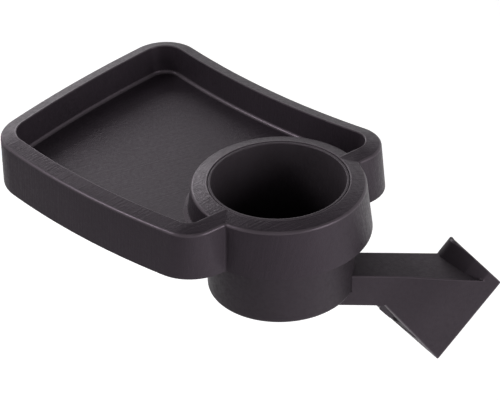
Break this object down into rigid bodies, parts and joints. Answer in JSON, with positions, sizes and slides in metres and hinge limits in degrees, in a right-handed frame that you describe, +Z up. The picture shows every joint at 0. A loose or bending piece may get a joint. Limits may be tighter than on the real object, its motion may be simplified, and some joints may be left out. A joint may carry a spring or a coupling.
{
  "type": "cup holder tray",
  "caption": "Snack tray with a cup holder that swings on a fixed cup socket, held by an arm and a slanted saddle that snaps over a frame tube.",
  "frame": {"origin": "on the swivel and cup axis, at the top face of the cup socket's flange", "axes": "+Z up along the cup axis, +X along the arm from the cup to the saddle, +Y away from the user"},
  "size_m": [0.3036, 0.2224, 0.1406],
  "materials": {
    "body_plastic": "matte charcoal, fine moulded grain",
    "socket_plastic": "matte charcoal",
    "liner_plastic": "satin near-black",
    "cover_plastic": "matte near-black",
    "lever_plastic": "satin dark grey",
    "washer_plastic": "natural acetal",
    "rubber": "soft black rubber",
    "spring_steel": "oiled spring steel",
    "plated_steel": "zinc plated"
  },
  "bodies": {
    "bracket": {"arm_bracket": "body_plastic", "arm_bottom_cover": "cover_plastic", "cover_screws": "plated_steel", "gusset_cover": "cover_plastic", "gusset_cover_screw": "plated_steel", "cup_socket": "socket_plastic", "socket_screws": "plated_steel", "swivel_washer": "washer_plastic", "saddle_liner": "rubber", "lever_pin": "plated_steel", "lever_pin_clip": "spring_steel", "lever_spring": "spring_steel"},
    "swing_tray": {"tray": "body_plastic", "wave_spring": "spring_steel", "retaining_ring": "spring_steel"},
    "lever": {"release_lever": "lever_plastic", "lever_pad": "rubber"},
    "liner": {"cup_liner": "liner_plastic", "liner_grip_ring": "rubber", "cup_base_pad": "rubber"}
  },
  "joints": [
    {"name": "tray_swivel", "type": "hinge", "parent": "bracket", "child": "swing_tray", "pos_m": [0, 0, 0], "axis": [0, 0, 1], "range_deg": [0, 110]},
    {"name": "lever_release", "type": "hinge", "parent": "bracket", "child": "lever", "pos_m": [0.07317, 0, -0.07702], "axis": [0, -1, 0], "range_deg": [0, 18], "stiffness_Nm_per_rad": 0.2, "springref_deg": -17.19},
    {"name": "liner_lift", "type": "slide", "parent": "bracket", "child": "liner", "axis": [0, 0, 1], "range_m": [0, 0.068]}
  ]
}
